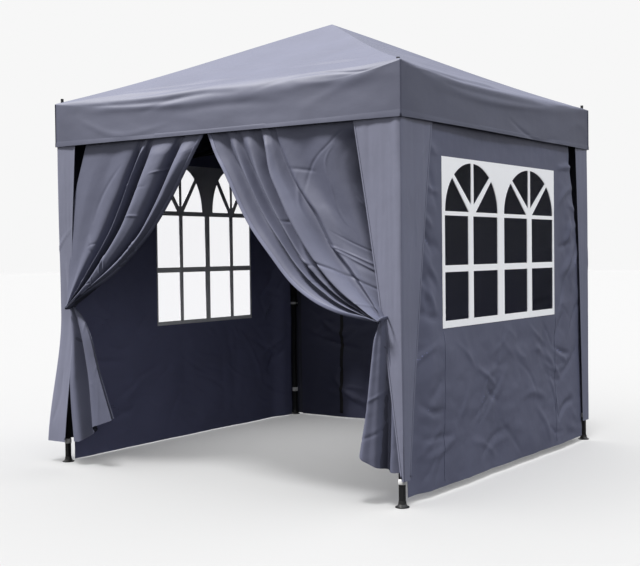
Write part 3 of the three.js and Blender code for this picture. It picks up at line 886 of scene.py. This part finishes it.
def right_curtain():
    body = "front_right_leg"
    edge, ridge, soft, back = (metres(c) for c in (RIGHT_EDGE, RIGHT_RIDGE, RIGHT_SOFT, RIGHT_BACK))
    plan = [
        (edge, edge, 0, [0.006, 0.022, 0.030, 0.030, 0.028]),
        (edge, ridge, 0.14, [0.002, 0.008, 0.020, 0.030, 0.030]),
        (edge, ridge, 0.28, [-0.002, -0.014, -0.006, 0.010, 0.022]),
        (edge, ridge, 0.42, [0.006, 0.020, 0.026, 0.030, 0.034]),
        (edge, ridge, 0.54, [0.002, -0.012, -0.010, 0.008, 0.020]),
        (edge, ridge, 0.70, [0.006, 0.022, 0.030, 0.032, 0.036]),
        (edge, ridge, 0.86, [-0.003, -0.020, -0.018, 0.002, 0.016]),
        (edge, ridge, 0.93, [-0.003, -0.016, -0.010, 0.006, 0.020]),
        (ridge, ridge, 0, [0.008, 0.034, 0.044, 0.044, 0.036]),
        (ridge, soft, 0.35, [0.004, 0.020, 0.028, 0.030, 0.024]),
        (ridge, soft, 0.7, [-0.002, -0.008, -0.006, 0.002, 0.014]),
        (soft, soft, 0, [0.002, 0.004, 0.008, 0.014, 0.016]),
        (soft, back, 0.2, [0.000, -0.012, -0.006, 0.004, 0.012]),
        (soft, back, 0.45, [0.002, -0.004, -0.012, -0.010, 0.004]),
        (soft, back, 0.62, [0.000, -0.012, -0.020, -0.020, 0.000]),
        (soft, back, 0.80, [-0.003, -0.056, -0.060, -0.040, -0.006]),
        (back, back, 0, [-0.003, -0.060, -0.066, -0.050, -0.010]),
    ]
    threads = [even(with_out(between(a, b, f), outs), ROWS) for a, b, f, outs in plan]
    p = tuck(loft(threads, ROWS, 230))
    obj, p = hang("front_right_curtain", p, body, 1, (edge, ridge, soft, back), seed=51)
    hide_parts("front_right_curtain")
    hem_of("front_right_curtain_hem", p, 0, body, 1)


LEFT_BACK = [(-948, 1915), (-990, 1800), (-1026, 1700), (-1058, 1600), (-1084, 1500), (-1098, 1380),
             (-1110, 1260),
             (-1118, 1140), (-1124, 1040), (-1126, 955)]
LEFT_FLAT = [(-530, 1915), (-596, 1800), (-657, 1685), (-705, 1590), (-757, 1500), (-826, 1380), (-900, 1270),
             (-968, 1165), (-1035, 1055), (-1094, 945)]
LEFT_RIDGE = [(-452, 1915), (-505, 1800), (-553, 1690), (-598, 1590), (-640, 1500), (-700, 1390),
              (-776, 1285),
              (-862, 1180), (-960, 1065), (-1080, 942)]
LEFT_TUBE = [(-197, 1915), (-262, 1800), (-319, 1690), (-366, 1590), (-415, 1500), (-480, 1400), (-580, 1295),
             (-700, 1190), (-860, 1070), (-1076, 938)]
LEFT_EDGE = [(-28, 1915), (-100, 1810), (-152, 1729), (-263, 1564), (-387, 1405), (-501, 1291), (-689, 1141),
             (-870, 1046), (-1000, 985), (-1070, 932)]


def left_curtain():
    body = "front_left_leg"
    back, flat, ridge, tube, edge = (
        metres(c) for c in (LEFT_BACK, LEFT_FLAT, LEFT_RIDGE, LEFT_TUBE, LEFT_EDGE)
    )
    plan = [
        (back, back, 0, [-0.002, -0.002, -0.001, 0.002, 0.004]),
        (back, flat, 0.3, [0.0, 0.004, 0.006, 0.008, 0.012]),
        (back, flat, 0.6, [0.0, 0.002, 0.004, 0.012, 0.018]),
        (flat, flat, 0, [0.002, 0.004, 0.006, 0.016, 0.024]),
        (flat, ridge, 0.45, [-0.002, -0.032, -0.034, -0.016, 0.004]),
        (ridge, ridge, 0, [0.007, 0.028, 0.034, 0.040, 0.036]),
        (ridge, tube, 0.12, [0.002, -0.028, -0.032, -0.012, 0.006]),
        (ridge, tube, 0.30, [0.004, 0.022, 0.030, 0.034, 0.032]),
        (ridge, tube, 0.60, [0.006, 0.030, 0.036, 0.038, 0.036]),
        (ridge, tube, 0.85, [0.004, 0.016, 0.020, 0.026, 0.030]),
        (tube, tube, 0, [-0.003, -0.036, -0.040, -0.018, 0.004]),
        (tube, edge, 0.25, [0.004, 0.018, 0.022, 0.028, 0.032]),
        (tube, edge, 0.55, [0.007, 0.030, 0.036, 0.038, 0.038]),
        (tube, edge, 0.82, [0.004, 0.020, 0.028, 0.032, 0.032]),
        (edge, edge, 0, [0.002, 0.006, 0.014, 0.022, 0.024]),
    ]
    threads = [even(with_out(between(a, b, f), outs), ROWS) for a, b, f, outs in plan]
    p = tuck(loft(threads, ROWS, 210))
    obj, p = hang("front_left_curtain", p, body, -1, (back, flat, ridge, tube, edge), seed=61)
    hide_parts("front_left_curtain")
    hem_of("front_left_curtain_hem", p, p.shape[1] - 1, body, -1)


def with_layers(threads, layers, wide):
    """Threads from the free edge, with the rest of the gather folded to and fro behind the layer that shows.
    wide is how many of the threads the layers behind reach over, so that they stay clear of the leg."""
    behind = []
    for layer in range(1, layers + 1):
        part = []
        for thread in threads[:wide]:
            gaps = np.linspace(LAYER_GAP_AT_TIE, LAYER_GAP_AT_FOOT, len(thread)) * layer
            lifts = np.linspace(0, LAYER_LIFT_AT_FOOT, len(thread)) * layer
            part.append([(x, out - gap, z + up) for (x, out, z), gap, up in zip(thread, gaps, lifts)])
        behind += part if layer % 2 else part[::-1]
    return behind[::-1] + list(threads)


def tail(name, body, towards, plan, rows, columns, layers, wide, seed):
    """The part of a curtain that falls below its tie."""
    from_edge = plan if towards > 0 else plan[::-1]
    full = with_layers(from_edge, layers, wide)
    full = full if towards > 0 else full[::-1]
    place = lambda thread: [(x / 1000, -(WALL + out / 1000), z / 1000) for x, out, z in thread]
    p = loft([even(place(t), rows) for t in full], rows, columns)
    routes = [place(t) for t in plan]
    hang(name, p, body, towards, routes, seed=seed, amount=0.0016, cell=0.1)


LAYER_GAP_AT_TIE = 3.0  # millimetres
LAYER_GAP_AT_FOOT = 9.0
LAYER_LIFT_AT_FOOT = 4.0  # each layer behind ends this much higher than the one before it
LEFT_TAIL_SHIFT = 12  # how far in from the leg the left tail hangs
RIGHT_TAIL = [  # from the free edge to the leg cover: (across, out, up) in millimetres, down from the tie
    [(1078, 24, 925), (1064, 26, 870), (1042, 28, 800), (1015, 30, 600), (998, 32, 460), (958, 36, 240)],
    [(1083, 34, 925), (1074, 40, 870), (1058, 46, 800), (1034, 50, 600), (1016, 56, 455), (984, 62, 226)],
    [(1088, 32, 925), (1084, 36, 870), (1074, 40, 790), (1058, 44, 600), (1044, 48, 450), (1022, 54, 208)],
    [(1093, 30, 925), (1093, 32, 870), (1090, 34, 790), (1082, 34, 600), (1074, 34, 450), (1062, 40, 190)],
    [(1099, 20, 925), (1103, 18, 870), (1107, 14, 790), (1112, -2, 600), (1104, -16, 440), (1088, -22, 178)],
    [(1104, 16, 925), (1112, 12, 870), (1121, 12, 790), (1134, 8, 600), (1136, 8, 440), (1126, 10, 168)],
    [(1110, 4, 925), (1122, -2, 870), (1134, -4, 790), (1150, -4, 600), (1162, -3, 440), (1176, -2, 172)],
]
LEFT_TAIL = [
    [(-1118, 6, 950), (-1104, 10, 860), (-1096, 14, 752), (-1106, 18, 600), (-1115, 22, 460),
     (-1084, 26, 136)],
    [(-1104, 18, 948), (-1090, 26, 860), (-1076, 34, 752), (-1078, 40, 600), (-1078, 44, 460),
     (-1040, 50, 142)],
    [(-1094, 26, 946), (-1072, 36, 860), (-1050, 44, 752), (-1040, 50, 600), (-1032, 54, 460),
     (-990, 58, 152)],
    [(-1084, 22, 944), (-1052, 12, 860), (-1022, 4, 752), (-998, -6, 600), (-980, -8, 480), (-946, -4, 192)],
    [(-1076, 24, 942), (-1036, 26, 860), (-1000, 26, 752), (-968, 24, 600), (-950, 24, 490), (-925, 26, 232)],
    [(-1068, 32, 940), (-1012, 40, 862), (-965, 46, 752), (-922, 48, 600), (-895, 50, 500), (-845, 54, 256)],
    [(-1060, 26, 938), (-990, 30, 866), (-930, 34, 756), (-885, 36, 610), (-852, 38, 511), (-765, 42, 283)],
]

right_curtain()
left_curtain()
tail("front_right_curtain_tail", "front_right_leg", 1, RIGHT_TAIL, 100, 330, 6, 5, 71)
LEFT_TAIL = [[(x + LEFT_TAIL_SHIFT, out, z) for x, out, z in thread] for thread in LEFT_TAIL]
tail("front_left_curtain_tail", "front_left_leg", -1, LEFT_TAIL, 100, 260, 3, 6, 81)


def tie(name, body, towards, centre, width, height):
    """The band that holds a curtain to its leg."""
    angles = np.linspace(0, 2 * math.pi, 41)
    path = np.stack(
        [
            centre[0] + width * np.cos(angles),
            centre[1] + 0.035 * np.sin(angles),
            centre[2] + 0.012 * np.cos(angles),
        ],
        axis=1,
    )
    normal = np.stack([np.cos(angles), np.sin(angles), 0 * angles], axis=1)
    up = np.tile([0, 0, 1.0], (41, 1))
    band = ribbon(name, path, up, normal, height, 0.003, curtain_cloth)
    carry(band, body, "curtain_cloth", *gather(0, towards))


tie("front_right_tie", "front_right_leg", 1, (1.094, -1.214, 0.914), 0.020, 0.016)
tie("front_left_tie", "front_left_leg", -1, (-1.078, -1.216, 0.944), 0.030, 0.018)

# ------------------------------------------------------------------ leg covers

# widths at the top and at the foot: of the flap on the side that owns the leg, then of the next one
COVER_WIDTHS = {
    "front_right": ((0.272, 0.014), (0.306, 0.058)),
    "back_right": ((0.215, 0.104), (0.290, 0.110)),
    "back_left": ((0.290, 0.120), (0.290, 0.120)),
    "front_left": ((0.290, 0.170), (0.158, 0.060)),
}
COVER_TOP = RAIL
SHORT_COVER = 0.62  # how long a cover is when its leg is lowered, as a share of its length
FLARE_WIDTH = 0.090  # how much wider the foot of the front left cover is cut


def leg_cover(corner):
    side = CORNERS.index(corner)
    own, nxt = COVER_WIDTHS[corner]
    rows = 120
    foot = 0.008 if corner == "back_left" else COVER_FOOT
    z = np.linspace(COVER_TOP, foot, rows)
    drop = np.clip((VALANCE - z) / (VALANCE - COVER_FOOT), 0, 1)
    bow = 0.012 * np.sin(math.pi * drop)  # the edges are a little hollow
    wide_own = own[0] + (own[1] - own[0]) * drop - bow
    wide_next = nxt[0] + (nxt[1] - nxt[0]) * drop - bow
    if corner == "front_left":
        wide_next = wide_next + 0.062 * smooth((0.90 - z) / 0.8) + 0.028 * smooth((1.0 - z) / 0.15)
    left = np.linspace(-1, 0, 34)
    right = np.linspace(0, 1, 34)[1:]
    S, D = [], []
    for k in left:
        S.append(COVER + k * wide_own)
        D.append(np.full(rows, COVER))
    for k in right:
        S.append(np.full(rows, COVER))
        D.append(COVER - k * wide_next)
    S, D = np.array(S).T, np.array(D).T
    t = np.concatenate([left, right])[None, :]
    if corner == "front_left":
        # the tie of the curtain draws this cover in against its leg
        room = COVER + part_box("front_left_upper_leg")[0][0] - 0.004
        drawn = min(0.016, room) * np.exp(-(((z - 0.95) / 0.42) ** 2))[:, None]
        S = S - drawn
        D = D - drawn
    # the fold over the leg is rounded
    near = np.exp(-((np.abs(t) / 0.05) ** 2))
    S = S - 0.004 * near
    D = D - 0.004 * near
    Z = np.broadcast_to(z[:, None], S.shape)
    P = np.stack([S, -D, Z], axis=2)
    n = grid_normals(P)
    run = lengths(P, 1)
    run = run - run[:, 33:34]
    seed = 90 + 5 * side
    flutes = 0.003 * fractal(run / 0.09, Z / 1.2, seed) + 0.0015 * fractal(run / 0.03, Z / 0.5, seed + 2)
    flutes += scatter(run, Z, seed + 3, 14, (-0.25, 0.25, 0.2, 1.8), 0.28, 0.012, 0.004, math.pi / 2, 0.25)
    flutes *= smooth((COVER_TOP - Z) / 0.1)
    flutes = np.maximum(flutes, -0.0015)
    P = P + n * flutes[..., None]
    if corner == "front_left":
        P = flare(P, Z, np.clip(1 + t, 0, 1))
    part = turned(P, side)
    obj = cloth(f"{corner}_leg_cover_cloth", part, cover_cloth, curtain_lining)
    top_width, foot_width = own[0] + nxt[0], own[1] + nxt[1] + (FLARE_WIDTH if corner == "front_left" else 0)
    long = COVER_TOP - foot
    flat = (max(top_width, foot_width), long)
    on_leg = (f"{corner}_leg", "cover_cloth", f"{corner}_height", (0, 0, 1), (0, 0, COVER_TOP), SHORT_COVER)
    declare(obj, flat, long * (top_width + foot_width) / 2, "hung", *on_leg)
    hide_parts(f"{corner}_leg_cover")
    facing = turned(grid_normals(P), side)
    for label, column, inward in (("own", 0, 1), ("next", -1, -1)):
        path = part[2:-1, column] + (part[2:-1, column + inward] - part[2:-1, column]) * 0.4
        normal = facing[2:-1, column]
        carry(seam(f"{corner}_cover_hem_{label}", path, normal, 0.009, 0.002, cover_cloth), *on_leg)


def flare(P, Z, share):
    """The foot of this cover hangs free and stands away from the leg."""
    down = smooth((0.90 - Z) / 0.85) * share
    P = P.copy()
    P[..., 1] -= 0.076 * down
    P[..., 0] += 0.045 * down
    return P


for corner in CORNERS:
    leg_cover(corner)


def strap(name, corner, z, half, height, material, body="lower_leg"):
    """A band round a leg."""
    x, y = [(1, -1), (1, 1), (-1, 1), (-1, -1)][CORNERS.index(corner)]
    angles = np.linspace(0, 2 * math.pi, 33)
    square = 4
    r = (np.abs(np.cos(angles)) ** square + np.abs(np.sin(angles)) ** square) ** (-1 / square)
    ring = np.stack([np.cos(angles) * r, np.sin(angles) * r, 0 * angles], axis=1)
    path = ring * half + np.array([x * LEG_X, y * LEG_X, z])
    normal = ring / np.linalg.norm(ring, axis=1, keepdims=True)
    band = ribbon(name, path, np.tile([0, 0, 1.0], (33, 1)), normal, height, 0.003, material)
    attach(band, f"{corner}_{body}")


strap("front_right_strap", "front_right", 0.125, 0.0145, 0.028, webbing)
strap("front_left_strap", "front_left", 0.125, 0.0145, 0.028, webbing)
strap("back_right_strap", "back_right", 0.16, 0.0145, 0.03, webbing)
strap("back_left_strap", "back_left", 0.19, 0.0145, 0.03, webbing)
strap("back_left_clip", "back_left", 0.858, 0.0205, 0.018, webbing, "leg")

# ------------------------------------------------------------------ floor, light, camera


SKY_LIGHT = 0.90
SIDE_LIGHT = 1.6
SIDE_FROM = (0.62, 0.05, 1.0)
KEY_LIGHT = 8.6
KEY_FROM = (-0.42, -0.36, 1.0)
FLOOR_FILL = 16.0
FLOOR_SEEN = 0.78
FLOOR_BOUNCE = 0.04
KEY_COLOR = (1.0, 0.985, 0.95)
SIDE_COLOR = (0.86, 0.91, 1.0)
FLOOR_KEY = 1.08
FLOOR_KEY_FROM = (0.15, -0.30, 1.0)
FILL_PLACE = (-0.3, 0.35, 1.75)


def seen_or_not(tree, seen, unseen):
    """A socket that is one value for what the camera sees and another for the light that the stage gives."""
    mix = tree.nodes.new("ShaderNodeMix")
    put(mix, {"A": unseen, "B": seen})
    tree.links.new(tree.nodes.new("ShaderNodeLightPath").outputs["Is Camera Ray"], mix.inputs["Factor"])
    return mix.outputs["Result"]


def lamp(name, kind, energy, toward, distance=8.0):
    data = bpy.data.lights.new(name, kind)
    data.energy = energy
    obj = bpy.data.objects.new(name, data)
    bpy.context.scene.collection.objects.link(obj)
    direction = Vector(toward).normalized()
    obj.rotation_euler = direction.to_track_quat("Z", "Y").to_euler()
    obj.location = direction * distance
    return obj


def only(light, obj, state):
    """Links or unlinks one object with a light: INCLUDE lights nothing else, EXCLUDE lights all but it."""
    group = bpy.data.collections.new(f"{light.name} linking")
    group.objects.link(obj)
    group.collection_objects[0].light_linking.link_state = state
    light.light_linking.receiver_collection = group


def lights(ground):
    world = bpy.data.worlds.new("studio")
    bpy.context.scene.world = world
    world.use_nodes = True
    sky = world.node_tree.nodes["Background"]
    sky.inputs["Color"].default_value = (1, 1, 1, 1)
    world.node_tree.links.new(seen_or_not(world.node_tree, 0.93, SKY_LIGHT), sky.inputs["Strength"])
    key = lamp("key", "SUN", KEY_LIGHT, KEY_FROM)
    key.data.angle = math.radians(9)
    only(key, ground, "EXCLUDE")
    key.data.color = KEY_COLOR
    side = lamp("side", "SUN", SIDE_LIGHT, SIDE_FROM)
    side.data.color = SIDE_COLOR
    side.data.angle = math.radians(8)
    only(side, ground, "EXCLUDE")
    ground_key = lamp("floor key", "SUN", FLOOR_KEY, FLOOR_KEY_FROM)
    ground_key.data.angle = math.radians(14)
    only(ground_key, ground, "INCLUDE")
    inner = lamp("floor fill", "AREA", FLOOR_FILL, (0, 0, 1))
    inner.data.size = 1.5
    inner.location = FILL_PLACE
    only(inner, ground, "INCLUDE")


def floor():
    ground, shader = new_material("pale floor", (0.62, 0.62, 0.62), 0.95)
    tree = ground.node_tree
    shader.inputs["Specular IOR Level"].default_value = 0.1
    tree.links.new(seen_or_not(tree, FLOOR_SEEN, FLOOR_BOUNCE), shader.inputs["Base Color"])
    half = 60
    flat = [(-half, -half, 0), (half, -half, 0), (half, half, 0), (-half, half, 0)]
    obj = mesh_object("floor", flat, [(0, 1, 2, 3)], [ground])
    obj.location.z = -0.0005
    return obj


def camera():
    """The camera of the picture: seen from the front right, a little above the middle of the walls."""
    azimuth, elevation, roll = math.radians(34.71), math.radians(1.55), math.radians(-0.66)
    level = math.cos(elevation)
    back = Vector((math.sin(azimuth) * level, -math.cos(azimuth) * level, math.sin(elevation)))
    right = Vector((math.cos(azimuth), math.sin(azimuth), 0))
    up = back.cross(right)
    right_rolled = math.cos(roll) * right + math.sin(roll) * up
    up_rolled = -math.sin(roll) * right + math.cos(roll) * up
    data = bpy.data.cameras.new("camera")
    data.sensor_width = 36
    data.lens = 63.5
    obj = bpy.data.objects.new("camera", data)
    rotation = Matrix((right_rolled, up_rolled, back)).transposed().to_4x4()
    obj.matrix_world = Matrix.Translation((3.965, -5.888, 1.246)) @ rotation
    bpy.context.scene.collection.objects.link(obj)
    bpy.context.scene.camera = obj


lights(floor())
camera()
bpy.context.scene.view_settings.view_transform = "Standard"
